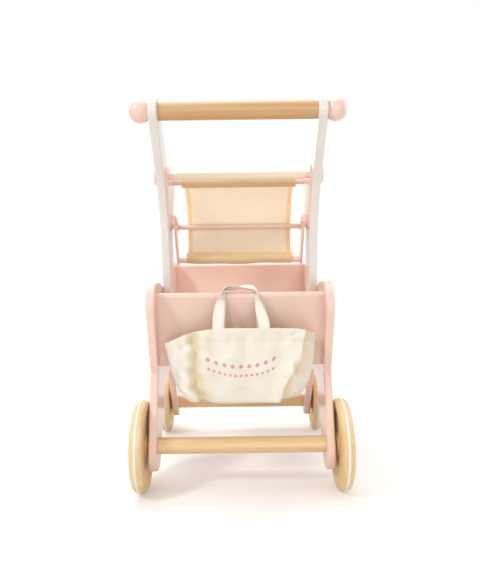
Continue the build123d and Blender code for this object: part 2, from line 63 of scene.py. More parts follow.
class Shader:
    """A node tree of a material or world: most calls add nodes and return the socket with their result."""

    def __init__(self, owner, end="OutputMaterial"):
        owner.use_nodes = True
        self.owner = owner
        self.tree = owner.node_tree
        self.tree.nodes.clear()
        self.out = self.node(end)

    def put(self, socket, value):
        if isinstance(value, bpy.types.NodeSocket):
            self.tree.links.new(value, socket)
        else:
            socket.default_value = value

    def node(self, kind, inputs=None, **settings):
        made = self.tree.nodes.new("ShaderNode" + kind)
        for key, value in settings.items():
            setattr(made, key, value)
        for key, value in (inputs or {}).items():
            self.put(made.inputs[key], value)
        return made

    def place(self, scale=(1, 1, 1), kind="Object"):
        """Coordinates on the object, or on its cloth where kind is UV, times a scale."""
        where = self.node("TexCoord").outputs[kind]
        return self.node("Mapping", {"Vector": where, "Scale": scale}).outputs["Vector"]

    def noise(self, vector, scale=1.0, detail=3.0, rough=0.5):
        inputs = {"Vector": vector, "Scale": scale, "Detail": detail, "Roughness": rough}
        return self.node("TexNoise", inputs).outputs["Fac"]

    def ramp(self, fac, *stops):
        made = self.node("ValToRGB", {"Fac": fac})
        elements = made.color_ramp.elements
        while len(elements) < len(stops):
            elements.new(0.5)
        for element, (where, colour) in zip(elements, stops):
            element.position = where
            element.color = (*colour, 1)
        return made.outputs["Color"]

    def math(self, kind, a, b=0.0):
        made = self.node("Math", {0: a, 1: b}, operation=kind)
        return made.outputs[0]

    def weigh(self, *terms):
        """Sum of sockets, each times its weight."""
        total = None
        for socket, weight in terms:
            part = self.math("MULTIPLY", socket, weight)
            total = part if total is None else self.math("ADD", total, part)
        return total

    def spread(self, value, low, high, to_low=0.0, to_high=1.0):
        inputs = {"Value": value, "From Min": low, "From Max": high, "To Min": to_low, "To Max": to_high}
        return self.node("MapRange", inputs).outputs["Result"]

    def mix(self, fac, a, b, kind="MIX"):
        made = self.node("Mix", {MIX_FACTOR: fac}, data_type="RGBA", blend_type=kind, clamp_factor=True)
        for socket, value in ((MIX_A, a), (MIX_B, b)):
            plain = not isinstance(value, bpy.types.NodeSocket)
            self.put(made.inputs[socket], (*value, 1) if plain else value)
        return made.outputs[MIX_RESULT]

    def bump(self, height, strength, distance):
        made = self.node("Bump", {"Height": height, "Strength": strength, "Distance": distance})
        return made.outputs["Normal"]

    def seen(self):
        """1 on rays that come from the camera, a reflection or glass, and 0 on the rest."""
        path = self.node("LightPath").outputs
        straight = self.math("MAXIMUM", path["Is Camera Ray"], path["Is Glossy Ray"])
        return self.math("MAXIMUM", straight, path["Is Transmission Ray"])

    def surface(self, **inputs):
        made = self.node("BsdfPrincipled")
        for key, value in inputs.items():
            self.put(made.inputs[key.replace("_", " ")], value)
        self.put(self.out.inputs["Surface"], made.outputs[0])


# Finishes of the solids
def paint(name, deep, light, roughness):
    """Satin paint on board: a faint cloudiness, a fine roller texture and a slightly uneven sheen."""
    s = Shader(bpy.data.materials.new(name))
    where = s.place()
    cloud = s.noise(where, scale=14.0, detail=4.0, rough=0.55)
    fibre = s.noise(s.place((90, 90, 1200)), detail=2.0)
    stipple = s.noise(where, scale=900.0, detail=2.0)
    sheen = s.noise(where, scale=40.0)
    s.surface(
        Base_Color=s.ramp(cloud, (NOISE_LOW, deep), (NOISE_HIGH, light)),
        Roughness=s.spread(sheen, NOISE_LOW, NOISE_HIGH, roughness - 0.06, roughness + 0.08),
        Normal=s.bump(s.weigh((stipple, 0.6), (fibre, 0.4)), strength=0.16, distance=0.0004),
        Specular_IOR_Level=0.5,
        Coat_Weight=0.8,
        Coat_Roughness=0.22,
    )
    return s.owner


def wood(name, along, deep, mid, pale, polish=0.35):
    """Hardwood with its grain along one axis of the object; polish is the weight of its clear lacquer."""
    s = Shader(bpy.data.materials.new(name))

    def grained(across, lengthwise):
        scale = [across] * 3
        scale[along] = lengthwise
        return s.place(scale)

    streak = s.noise(grained(420.0, 9.0), detail=4.0, rough=0.6)
    band = s.noise(grained(70.0, 2.5))
    pores = s.spread(s.noise(grained(900.0, 70.0), detail=2.0), 0.66, 0.76)
    figure = s.ramp(s.weigh((streak, 0.45), (band, 0.55)), (0.32, deep), (0.50, mid), (0.68, pale))
    pore_colour = [channel * 0.55 for channel in deep]
    s.surface(
        Base_Color=s.mix(s.math("MULTIPLY", pores, 0.35), figure, pore_colour),
        Roughness=s.spread(streak, NOISE_LOW, NOISE_HIGH, 0.36, 0.52),
        Normal=s.bump(s.weigh((streak, 1.0), (pores, -0.5)), strength=0.14, distance=0.0004),
        Specular_IOR_Level=0.25 + 0.7 * polish,
        Coat_Weight=polish,
        Coat_Roughness=0.25,
    )
    return s.owner


def rubber(name, colour):
    """Matt rubber, slightly darker in places, with a fine grain."""
    s = Shader(bpy.data.materials.new(name))
    where = s.place()
    tint = s.noise(where, scale=60.0)
    darker = [channel * 0.93 for channel in colour]
    s.surface(
        Base_Color=s.ramp(tint, (NOISE_LOW, darker), (NOISE_HIGH, colour)),
        Roughness=s.spread(tint, NOISE_LOW, NOISE_HIGH, 0.55, 0.68),
        Normal=s.bump(s.noise(where, scale=1500.0, detail=2.0), strength=0.12, distance=0.0003),
        Specular_IOR_Level=0.35,
    )
    return s.owner


def steel(name):
    """Drawn steel, with fine lines along X."""
    s = Shader(bpy.data.materials.new(name))
    lines = s.noise(s.place((12, 900, 900)))
    s.surface(
        Base_Color=s.ramp(lines, (NOISE_LOW, (0.48, 0.48, 0.49)), (NOISE_HIGH, (0.62, 0.62, 0.63))),
        Metallic=1.0,
        Roughness=s.spread(lines, NOISE_LOW, NOISE_HIGH, 0.26, 0.40),
        Normal=s.bump(lines, strength=0.10, distance=0.0003),
    )
    return s.owner


GRAIN_X, GRAIN_Z = 0, 2
NATURAL = ((0.75, 0.48, 0.225), (0.84, 0.60, 0.325), (0.88, 0.695, 0.44))
DARK = ((0.50, 0.27, 0.095), (0.58, 0.345, 0.15), (0.66, 0.43, 0.215))
PALE = ((0.80, 0.64, 0.44), (0.86, 0.73, 0.54), (0.89, 0.79, 0.63))
white = paint("white_paint", (0.755, 0.72, 0.675), (0.81, 0.78, 0.735), 0.40)
wood_wheel = wood("wood_upright", GRAIN_Z, *NATURAL, polish=0.0)
by_node = {
    "handle_bar": wood("wood_handle", GRAIN_X, *DARK),
    "brace_bar": wood("wood_pale", GRAIN_X, *PALE),
}
by_slot = {
    "pink_paint": paint("pink_paint", (0.83, 0.575, 0.48), (0.88, 0.63, 0.535), 0.42),
    "white_paint": white,
    "natural_wood": wood("wood_across", GRAIN_X, *NATURAL),
    "ivory_rubber": rubber("ivory_rubber", (0.93, 0.885, 0.78)),
    "steel": steel("steel"),
    "linen": white,  # the two cloth slots' solids are replaced below, so this finish isn't seen
    "cotton": white,
}


def smooth(mesh):
    """Shades all faces of a mesh as one smooth surface."""
    for face in mesh.polygons:
        face.use_smooth = True


for part in frame["record"]["subparts"]:
    name = part["node"]
    material = by_node.get(name, by_slot[part["material_slot"]])
    if "_wheel_" in name and "ring" not in name:
        material = wood_wheel
    mesh = nodes[name].data
    mesh.materials.clear()
    mesh.materials.append(material)
    smooth(mesh)

# Cloth helpers
def curve_point(near, t):
    """Point of a smooth curve through four points, a share t of the way from the second to the third."""
    found = []
    for a, b, c, d in zip(*near):
        slope = (c - a) * t
        bend = (2 * a - 5 * b + 4 * c - d) * t * t
        twist = (3 * b - a - 3 * c + d) * t ** 3
        found.append(0.5 * (2 * b + slope + bend + twist))
    return tuple(found)


def smooth_line(points, count):
    """Points along a smooth open line through the given points, as many in each stretch."""
    last = len(points) - 1
    found = []
    for step in range(count + 1):
        place = last * step / count
        i = min(int(place), last - 1)
        near = [points[max(0, min(last, i + k))] for k in (-1, 0, 1, 2)]
        found.append(curve_point(near, place - i))
    return found


def smooth_ring(points, count):
    """Points along a smooth closed line through the given points."""
    size = len(points)
    found = []
    for step in range(count):
        place = size * step / count
        i = int(place)
        near = [points[(i + k) % size] for k in (-1, 0, 1, 2)]
        found.append(curve_point(near, place - i))
    return found


def limit(value):
    """The value, kept between 0 and 1."""
    return max(0.0, min(1.0, value))


def eased(table, x):
    """Value at x of a table of (x, value) pairs, eased between its entries and level past its ends."""
    if x <= table[0][0]:
        return table[0][1]
    for (x0, v0), (x1, v1) in zip(table, table[1:]):
        if x <= x1:
            t = (x - x0) / (x1 - x0)
            t = t * t * (3 - 2 * t)
            return v0 + (v1 - v0) * t
    return table[-1][1]


def add_marks(mesh, name, values):
    """A number from 0 to 1 at each point of a mesh, which its material reads by name."""
    attribute = mesh.attributes.new(name, "FLOAT", "POINT")
    attribute.data.foreach_set("value", values)


def grid_mesh(name, rows, uvs, hems, closed=False):
    """Object of rows of points, with its cloth coordinates in metres and a hem mark at each point."""
    wide = len(rows[0])
    faces = []
    for r in range(len(rows) - 1):
        for c in range(wide if closed else wide - 1):
            d = (c + 1) % wide
            faces.append((r * wide + c, r * wide + d, (r + 1) * wide + d, (r + 1) * wide + c))
    mesh = bpy.data.meshes.new(name)
    mesh.from_pydata([p for row in rows for p in row], [], faces)
    layer = mesh.uv_layers.new(name="cloth")
    flat = [p for row in uvs for p in row]
    around = max(p[0] for p in flat) * wide / (wide - 1)
    for face in mesh.polygons:
        columns = [mesh.loops[i].vertex_index % wide for i in face.loop_indices]
        for i, column in zip(face.loop_indices, columns):
            u, v = flat[mesh.loops[i].vertex_index]
            wraps = closed and column == 0 and wide - 1 in columns
            layer.data[i].uv = (around if wraps else u, v)
    smooth(mesh)
    add_marks(mesh, "hem", [mark for row in hems for mark in row])
    made = bpy.data.objects.new(name, mesh)
    scene.collection.objects.link(made)
    return made


def thicken(obj, thickness):
    """Gives a sheet its thickness, half to each side; apply_modifiers settles it."""
    solid = obj.modifiers.new("thick", "SOLIDIFY")
    solid.thickness = thickness
    solid.offset = 0.0


def refine(obj):
    """Halves the steps of a mesh and rounds it; apply_modifiers settles it."""
    fine = obj.modifiers.new("fine", "SUBSURF")
    fine.levels = fine.render_levels = 1


def apply_modifiers(obj):
    """Replaces an object's mesh by its shape with all modifiers."""
    bpy.context.view_layer.update()
    shown = obj.evaluated_get(bpy.context.evaluated_depsgraph_get())
    shape = bpy.data.meshes.new_from_object(shown)
    obj.modifiers.clear()
    obj.data = shape


# Cloth materials
WAVE_SCALE = 0.31831  # about one wave of a wave texture to a unit
HEM_TINT = 0.75
# Painted shade: cloth in the bag's folds is darkened toward a warm tan, more where the fold is deeper
FOLD_SHADE_SHARE = 0.8
FOLD_SHADE_COLOUR = (0.94, 0.84, 0.66)
SCATTER_RADIUS = (0.004, 0.004, 0.004)
INK = (0.66, 0.22, 0.36)
INK_EDGE = 0.0004
SWAG_BEND = 5.0
# Swags of the printed garland: level of the lowest dot, radius of the dots, their spacing and their number
SWAGS = (
    (0.190, 0.0026, 0.0115, 9),
    (0.177, 0.0018, 0.0075, 13),
)
PRINT_BEHIND = -0.149  # only cloth further back than this carries print
PRINT_FADE = 0.001
SWAG_START = 100.5  # spacings left of the middle, so that a dot falls in the middle


def tinted(s, base, mark, share, colour):
    """The base colour, tinted where the mesh has the mark."""
    amount = s.math("MULTIPLY", s.node("Attribute", attribute_name=mark).outputs["Fac"], share)
    return s.mix(amount, base, s.mix(1.0, base, colour, "MULTIPLY"))


def printed(s, base):
    """The base colour with a generic printed garland on the bag's front: two swags of small dots."""
    x, y, z = s.node("SeparateXYZ", {"Vector": s.node("TexCoord").outputs["Object"]}).outputs
    ink = None
    for level, radius, spacing, count in SWAGS:
        sag = s.math("MULTIPLY", s.math("MULTIPLY", x, x), SWAG_BEND)
        rise = s.math("SUBTRACT", z, s.math("ADD", sag, level))
        there = s.math("PINGPONG", s.math("ADD", x, SWAG_START * spacing), spacing)
        along = s.math("SUBTRACT", there, spacing / 2)
        square = s.math("ADD", s.math("MULTIPLY", along, along), s.math("MULTIPLY", rise, rise))
        dots = s.spread(s.math("SQRT", square), radius, radius + INK_EDGE, 1.0, 0.0)
        end = count * spacing / 2
        within = s.spread(s.math("ABSOLUTE", x), end - INK_EDGE / 2, end, 1.0, 0.0)
        dots = s.math("MULTIPLY", dots, within)
        ink = dots if ink is None else s.math("MAXIMUM", ink, dots)
    ink = s.math("MULTIPLY", ink, s.spread(y, PRINT_BEHIND - PRINT_FADE, PRINT_BEHIND, 1.0, 0.0))
    worn = s.spread(s.noise(s.place(), scale=700.0), 0.3, 0.6, 0.55, 0.9)
    return s.mix(s.math("MULTIPLY", ink, worn), base, INK)


def woven(name, deep, pale, hem_tint_and_glow, pitch, glow, prints=False):
    """Plain-weave cloth with slubs, tinted hems (on the linen partly a painted glow of light through the doubled
    cloth) and painted shade in its folds; glow is the share of light it scatters.
    """
    s = Shader(bpy.data.materials.new(name))
    where = s.place((1.0 / pitch, 1.0 / pitch, 1), "UV")
    wave = {"Vector": where, "Scale": WAVE_SCALE, "Distortion": 0.6, "Detail": 1.0, "Detail Scale": 0.2}
    warp, weft = [s.node("TexWave", wave, bands_direction=axis).outputs["Fac"] for axis in "XY"]
    threads = s.weigh((warp, 0.5), (weft, 0.5))
    slub_up, slub_across = [s.noise(s.place(scale, "UV")) for scale in ((900, 40, 1), (40, 900, 1))]
    slub = s.weigh((slub_up, 0.5), (slub_across, 0.5))
    base = s.ramp(s.weigh((slub, 0.75), (threads, 0.25)), (0.38, deep), (0.62, pale))
    # hems are tinted by the hem mark; on the linen the tint is partly a painted glow of light shining through the
    # doubled cloth
    base = tinted(s, base, "hem", HEM_TINT, hem_tint_and_glow)
    # painted shade: points marked by their fold depth are darkened toward a warm tan
    base = tinted(s, base, "shade", FOLD_SHADE_SHARE, FOLD_SHADE_COLOUR)
    if prints:
        base = printed(s, base)
    s.surface(
        Base_Color=base,
        Roughness=s.spread(slub, NOISE_LOW, NOISE_HIGH, 0.82, 0.95),
        Normal=s.bump(s.weigh((threads, 1.0), (slub, 0.8)), strength=0.35, distance=0.0003),
        Specular_IOR_Level=0.2,
        Sheen_Weight=0.15,
        Sheen_Roughness=0.5,
        Subsurface_Weight=glow,
        Subsurface_Radius=SCATTER_RADIUS,
        Subsurface_Scale=1.0,
    )
    return s.owner


linen = woven(
    "linen",
    deep=(0.85, 0.66, 0.46),
    pale=(0.90, 0.75, 0.57),
    # the linen's hems are brighter and more orange than its cloth: partly the doubled cloth, partly a painted glow
    # of light shining through it
    hem_tint_and_glow=(1.06, 0.69, 0.39),
    pitch=0.0011,
    glow=0.75,
)
cotton = woven(
    "cotton",
    deep=(0.84, 0.78, 0.67),
    pale=(0.90, 0.86, 0.77),
    hem_tint_and_glow=(0.96, 0.94, 0.91),
    pitch=0.0009,
    glow=0.10,
    prints=True,
)
webbing = woven(
    "webbing",
    deep=(0.85, 0.79, 0.68),
    pale=(0.91, 0.87, 0.78),
    hem_tint_and_glow=(0.94, 0.91, 0.86),
    pitch=0.0012,
    glow=0.10,
)

# Hood canopy: two spans of linen on three rods, hemmed round the top and lower rods
HOOD_RADIUS = 0.074  # from the pivot to the rods, as in the part's source
BOW_ANGLES = (62.0, -4.0, -57.0)  # degrees, of the rods about the pivot, as in the part's source
ROD_RADIUS = 0.0045
LINEN_THICKNESS = 0.0008
ROD_TO_CLOTH = 0.0011  # from a rod's surface to the middle of the cloth on it
CLOTH_OUT = ROD_RADIUS + ROD_TO_CLOTH
LAYER_GAP = 0.0014  # between the two layers of cloth at a hem's stitches
SPAN_FULLNESS = 0.0035
UPPER_STEPS, LOWER_STEPS = 16, 14
TOP_HEM_DEPTH, LOW_HEM_DEPTH = 0.0130, 0.0190  # from a rod's axis to the stitches
TOP_HEM_CLOTH, LOW_HEM_CLOTH = 0.030, 0.038  # length of cloth in each end hem
TOP_HALF, MIDDLE_HALF, LOW_HALF = 0.0945, 0.0885, 0.0890  # half-widths at the ends of the spans
WAIST = 0.0022  # how far each side draws in, half-way along the cloth
SIDE_HEM = 0.0078
SEAM = 1.02  # a side hem's tint has faded out at this many times its width
CANOPY_COLUMNS = 36
# share of the hem tint, with the linen's painted glow, on the side hems and on the end hems
SIDE_MARK, END_MARK = 1.0, 0.75
HEM_STEPS = 4
TURN_STEPS = 8
CALM_ENDS = 12  # the waves grow over a twelfth of the cloth from each end
# Waves of the canopy: height, rate across, drift along the cloth and phase
CANOPY_WAVES = (
    (0.0006, 95, 0.0, 1.3),
    (0.0008, 41, 3.0, 0.0),
)
UV_SHIFT = 0.2  # keeps the cloth coordinates above 0

pivot = Vector(HOOD_PIVOT)
bows = []
for degrees in BOW_ANGLES:
    reach_y = HOOD_RADIUS * math.cos(math.radians(degrees))
    reach_z = HOOD_RADIUS * math.sin(math.radians(degrees))
    bows.append(Vector((HOOD_PIVOT[0] + reach_y, HOOD_PIVOT[1] + reach_z)))
top_rod, middle_rod, low_rod = bows


def span_line(start, end, count):
    """Side-view line, as (y, z) places, of cloth on the outer side of two rods and a little full between."""
    along = end - start
    square = Vector((-along.y, along.x)).normalized()
    from_start = (start - pivot).normalized()
    from_end = (end - pivot).normalized()
    line = []
    for i in range(count + 1):
        t = i / count
        outward = (from_start * (1 - t) + from_end * t).normalized()
        fullness = SPAN_FULLNESS * math.sin(math.pi * t)
        line.append(start + along * t + outward * CLOTH_OUT + square * fullness)
    return line


def hem_line(rod, toward, depth):
    """Side-view line round a rod in its hem, from the stitched edge to just before the rod's outer side."""
    outward = (rod - pivot).normalized()
    along = toward.normalized()
    rise = CLOTH_OUT - LAYER_GAP
    slope = math.atan2(rise, depth) - math.acos(CLOTH_OUT / math.hypot(depth, rise))
    stitch = rod + along * depth + outward * rise
    leaves = rod + (along * math.cos(slope) + outward * math.sin(slope)) * CLOTH_OUT
    line = [stitch + (leaves - stitch) * k / HEM_STEPS for k in range(HEM_STEPS + 1)]
    base = math.atan2(outward.y, outward.x)
    turn = 1 if outward.x * along.y - outward.y * along.x < 0 else -1
    for k in range(1, TURN_STEPS):
        angle = base + turn * math.pi * (1 - k / TURN_STEPS)
        line.append(rod + Vector((math.cos(angle), math.sin(angle))) * CLOTH_OUT)
    return line


def canopy_row(width):
    """Places across the canopy, as shares of its half-width, two of them at each side hem's inner edge."""
    seam = SIDE_HEM / width
    inner = 1 - SEAM * seam
    middle = [-inner + 2 * inner * (i + 1) / (CANOPY_COLUMNS + 1) for i in range(CANOPY_COLUMNS)]
    return [-1, -1 + seam, -inner, *middle, inner, 1 - seam, 1]


def canopy_wave(x, share):
    """How far the cloth stands out at a point, in waves that fade out at both ends of the cloth."""
    calm = min(1.0, CALM_ENDS * min(share, 1 - share))
    height = 0.0
    for size, rate, drift, phase in CANOPY_WAVES:
        height += size * math.sin(rate * x + drift * share + phase)
    return height * calm


def canopy(name, line, halves, hem_cloth):
    """Sheet of linen along a side-view line, and the line's length; both pairs run from start to end."""
    runs = [0.0]
    for a, b in zip(line, line[1:]):
        runs.append(runs[-1] + (b - a).length)
    total = runs[-1]
    rows, uvs, hems = [], [], []
    for point, run in zip(line, runs):
        share = run / total
        width = halves[0] + (halves[1] - halves[0]) * share - WAIST * math.sin(math.pi * share)
        outward = (point - pivot).normalized()
        end_mark = END_MARK if run < hem_cloth[0] or run > total - hem_cloth[1] else 0.0
        xs = [where * width for where in canopy_row(width)]
        moved = [point + outward * canopy_wave(x, share) for x in xs]
        rows.append([(x, place.x, place.y) for x, place in zip(xs, moved)])
        uvs.append([(x + UV_SHIFT, run) for x in xs])
        hems.append([SIDE_MARK] * 2 + [end_mark] * (len(xs) - 4) + [SIDE_MARK] * 2)
    made = grid_mesh(name, rows, uvs, hems)
    thicken(made, LINEN_THICKNESS)
    refine(made)
    apply_modifiers(made)
    smooth(made.data)
    made.data.materials.append(linen)
    return made, total


top_hem = hem_line(top_rod, middle_rod - top_rod, TOP_HEM_DEPTH)
low_hem = hem_line(low_rod, middle_rod - low_rod, LOW_HEM_DEPTH)
upper_line = top_hem + span_line(top_rod, middle_rod, UPPER_STEPS)
lower_line = span_line(middle_rod, low_rod, LOWER_STEPS) + low_hem[::-1]
upper_halves, upper_hems = (TOP_HALF, MIDDLE_HALF), (TOP_HEM_CLOTH, 0.0)
lower_halves, lower_hems = (MIDDLE_HALF, LOW_HALF), (0.0, LOW_HEM_CLOTH)
upper, upper_length = canopy("canopy_upper_cloth", upper_line, upper_halves, upper_hems)
lower, lower_length = canopy("canopy_lower_cloth", lower_line, lower_halves, lower_hems)
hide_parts("canopy_upper")
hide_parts("canopy_lower")
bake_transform(upper)
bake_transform(lower)

# Tote bag: a sagging cotton shell, wider at its mouth, with a fold at each side of its front

# Rings from the rim to the base, each from the left of the back round by the front
BAG_RINGS = [
    [(-.0985, -.1322, .2215), (-.1040, -.1440, .2205), (-.0700, -.1620, .2361), (-.0280, -.1680, .2425),
     (.0340, -.1680, .2425), (.0800, -.1655, .2409), (.1020, -.1490, .2340), (.0990, -.1322, .2315),
     (0, -.1318, .2355)],
    [(-.0960, -.1322, .2058), (-.0995, -.1460, .1940), (-.0655, -.1700, .2058), (-.0300, -.1740, .2090),
     (.0300, -.1740, .2090), (.0830, -.1730, .2068), (.1005, -.1500, .2036), (.0975, -.1322, .2058),
     (0, -.1318, .2079)],
    [(-.0900, -.1328, .1738), (-.0930, -.1470, .1674), (-.0720, -.1710, .1728), (-.0320, -.1750, .1749),
     (.0260, -.1750, .1749), (.0720, -.1750, .1738), (.0970, -.1500, .1738), (.0920, -.1328, .1738),
     (0, -.1322, .1749)],
    [(-.0830, -.1345, .1472), (-.0850, -.1480, .1499), (-.0760, -.1670, .1472), (-.0340, -.1720, .1440),
     (.0220, -.1720, .1440), (.0600, -.1730, .1451), (.0895, -.1520, .1546), (.0830, -.1345, .1483),
     (0, -.1345, .1456)],
    [(-.0740, -.1390, .1380), (-.0780, -.1490, .1400), (-.0680, -.1600, .1385), (-.0340, -.1650, .1365),
     (.0220, -.1650, .1365), (.0560, -.1640, .1380), (.0790, -.1520, .1435), (.0740, -.1390, .1395),
     (0, -.1390, .1370)],
    [(-.0560, -.1450, .1370), (-.0600, -.1500, .1380), (-.0540, -.1560, .1370), (-.0300, -.1580, .1362),
     (.0180, -.1580, .1362), (.0440, -.1570, .1368), (.0600, -.1520, .1390), (.0560, -.1450, .1375),
     (0, -.1450, .1365)],
]
BAG_AROUND, BAG_UP = 400, 108
COTTON_THICKNESS = 0.0014
RIM_HEM = 0.0135
RIM_HEM_STEP = 0.0009
FRONT_STARTS = -0.140  # the folds start at this y, and are whole a little further back
FRONT_GROWS = 0.012
RIM_FOLDS = 0.25  # share of the folds at the rim, whole after a few of the mesh's levels
RIM_LEVELS = 10
BASE_SHARE = 0.14  # share of the levels, at the base, over which the folds fade out
FOLD_SHADE_DEPTH = 0.006  # folds this deep or deeper get the full painted shade

# The left fold is a groove along a line of (z, x) places, scalloped, with a lobe of cloth left of it
LEFT_FOLD = [(.140, -.058), (.160, -.070), (.178, -.074), (.208, -.070), (.240, -.076)]
SCALLOP, SCALLOP_RATE, SCALLOP_PHASE = 0.0016, 300, 0.6
LEFT_DEPTH, LEFT_STEEP, LEFT_GENTLE = 0.0120, 0.0013, 0.0150
LOBE_HEIGHT, LOBE_LEFT, LOBE_WIDTH = 0.0048, 0.0075, 0.0060

# The right fold is two ridges along lines of (z, x) places, with how much of each shows at each z
UPPER_RIDGE = [(.176, .0745), (.2237, .0850), (.240, .0890)]
LOWER_RIDGE = [(.140, .0525), (.148, .0560), (.1925, .0705)]
UPPER_SHOWS = [(.172, 0.0), (.186, 1.0)]
LOWER_SHOWS = [(.188, 1.0), (.200, 0.0)]
# Each ridge: its line, what shows of it, its height and gentle width, its groove's depth and gentle width
RIGHT_RIDGES = (
    (UPPER_RIDGE, UPPER_SHOWS, 0.0066, 0.0100, 0.0090, 0.0120),
    (LOWER_RIDGE, LOWER_SHOWS, 0.0062, 0.0090, 0.0085, 0.0110),
)
RIDGE_STEEP, GROOVE_STEEP, GROOVE_RIGHT = 0.0014, 0.0018, 0.005

# Slanted creases: a point (x, z) of each, the direction across it, depth, width, middle (x, z) and reach
CREASES = (
    (-0.060, 0.150, 0.80, 0.60, 0.0032, 0.0035, -0.055, 0.150, 0.022),
    (0.070, 0.232, 0.55, -0.83, 0.0026, 0.0032, 0.078, 0.226, 0.018),
)
# Ripples: height, rate across, drift with the level, phase, level of the middle and reach
RIPPLES = (
    (0.0016, 150, 14, 0.8, 0.205, 0.045),
    (0.0011, 260, -25, 2.0, 0.228, 0.022),
    (0.0016, 120, 30, 0.0, 0.158, 0.018),
)
# A bulge and a dent beside it at the lower right corner: middle (x, z), height and reach
BULGES = (
    (0.084, 0.168, 0.0055, 0.009),
    (0.090, 0.176, -0.0045, 0.005),
)
# Irregular wrinkles: broad ridges and a fine ruffle, which grow with the height above the base
WRINKLE_HEIGHT, RUFFLE_HEIGHT = 0.0048, 0.0013
WRINKLE_ACROSS, WRINKLE_DRIFT, WRINKLE_UP = 24, 9, 21
RUFFLE_ACROSS, RUFFLE_UP = 52, 46
WRINKLE_SEED, RUFFLE_SEED = 3.1, 7.7
LOOSE_FROM, LOOSE_OVER = 0.146, 0.030


def hump(offset, width):
    """1 in the middle, falling off smoothly to both sides."""
    return math.exp(-(offset / width) ** 2)


def groove(offset, steep, gentle):
    """A fold's depth, from 0 to 1, with a steep wall on its left and a gentle one on its right."""
    return hump(offset, steep if offset < 0 else gentle)


def side_folds(x, z):
    """Height of the cloth in the two folds at the sides of the bag's front."""
    left = x - eased(LEFT_FOLD, z) - SCALLOP * math.sin(SCALLOP_RATE * z + SCALLOP_PHASE)
    height = LOBE_HEIGHT * hump(left + LOBE_LEFT, LOBE_WIDTH)
    height -= LEFT_DEPTH * groove(left, LEFT_STEEP, LEFT_GENTLE)
    for line, shows, rise, rise_gentle, depth, depth_gentle in RIGHT_RIDGES:
        right = x - eased(line, z)
        ridge = rise * groove(-right, RIDGE_STEEP, rise_gentle)
        dip = depth * groove(right - GROOVE_RIGHT, GROOVE_STEEP, depth_gentle)
        height += eased(shows, z) * (ridge - dip)
    return height


def small_folds(x, z):
    """Height of the cloth in its creases, ripples and bulges."""
    height = 0.0
    for at_x, at_z, across_x, across_z, depth, width, middle_x, middle_z, reach in CREASES:
        offset = (x - at_x) * across_x + (z - at_z) * across_z
        height -= depth * hump(offset, width) * hump(math.hypot(x - middle_x, z - middle_z), reach)
    for size, rate, drift, phase, level, reach in RIPPLES:
        height += size * math.sin(rate * x + drift * z + phase) * hump(z - level, reach)
    for middle_x, middle_z, size, reach in BULGES:
        height += size * hump(math.hypot(x - middle_x, z - middle_z), reach)
    return height


def wrinkles(x, z):
    """Height of the cloth in its irregular wrinkles."""
    place = Vector((WRINKLE_ACROSS * x + WRINKLE_DRIFT * z, WRINKLE_UP * z, WRINKLE_SEED))
    ridge = (1 - abs(noise.noise(place))) ** 3 - 0.5
    ruffle = noise.noise(Vector((RUFFLE_ACROSS * x, RUFFLE_UP * z, RUFFLE_SEED)))
    return (WRINKLE_HEIGHT * ridge + RUFFLE_HEIGHT * ruffle) * limit((z - LOOSE_FROM) / LOOSE_OVER)


def bag_height(point, level):
    """How far the bag's cloth stands out at a point of its plain shell, from its folds and wrinkles."""
    front = limit((FRONT_STARTS - point.y) / FRONT_GROWS)
    above_base = 1.0 - max(0.0, (level - (1 - BASE_SHARE) * BAG_UP) / (BASE_SHARE * BAG_UP))
    below_rim = min(1.0, RIM_FOLDS + level / RIM_LEVELS)
    height = side_folds(point.x, point.z) + small_folds(point.x, point.z) + wrinkles(point.x, point.z)
    return height * front * above_base * below_rim


def close_rings(mesh, firsts, count, smooth_faces):
    """Closes rings of points across, in pairs from their two halves, and turns all faces outward."""
    work = bmesh.new()
    work.from_mesh(mesh)
    work.verts.ensure_lookup_table()
    for first in firsts:
        ring = [work.verts[first + i] for i in range(count)]
        for i in range(count // 2 - 1):
            corners = (ring[i], ring[i + 1], ring[count - 2 - i], ring[count - 1 - i])
            work.faces.new(corners).smooth = smooth_faces
    work.normal_update()
    bmesh.ops.recalc_face_normals(work, faces=work.faces)
    work.to_mesh(mesh)
    work.free()


def bag_shell():
    """The bag without its straps: rings of points with their folds, closed at the base and thickened."""
    lines = [smooth_line(track, BAG_UP) for track in zip(*BAG_RINGS)]
    rows, uvs, hems, shades = [], [], [], []
    run = 0.0
    above = None
    for level in range(BAG_UP + 1):
        ring = [Vector(p) for p in smooth_ring([line[level] for line in lines], BAG_AROUND)]
        if above:
            run += sum((a - b).length for a, b in zip(ring, above)) / BAG_AROUND
        above = ring
        hem_step = RIM_HEM_STEP if 0 < run < RIM_HEM else 0.0
        row, uv, length = [], [], 0.0
        for i, point in enumerate(ring):
            ahead, behind = ring[(i + 1) % BAG_AROUND], ring[i - 1]
            inward = Vector((behind.y - ahead.y, ahead.x - behind.x, 0)).normalized()
            height = bag_height(point, level)
            row.append(tuple(point - inward * (height + hem_step)))
            # how much painted shade this point gets, from how deep its fold is
            shades.append(limit(-height / FOLD_SHADE_DEPTH))
            uv.append((length, run))
            length += (ahead - point).length
        rows.append(row)
        uvs.append(uv)
        hems.append([1.0 if run < RIM_HEM else 0.0] * BAG_AROUND)
    made = grid_mesh("bag_cloth", rows, uvs, hems, closed=True)
    add_marks(made.data, "shade", shades)
    close_rings(made.data, [BAG_UP * BAG_AROUND], BAG_AROUND, smooth_faces=True)
    thicken(made, COTTON_THICKNESS)
    apply_modifiers(made)
    smooth(made.data)
    return made


bag = bag_shell()
bag.data.materials.append(cotton)
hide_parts("bag_body")
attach(bag, "bag")

# Straps: flat webbing that rises from the bag, turns on edge and loops over the board's top edge

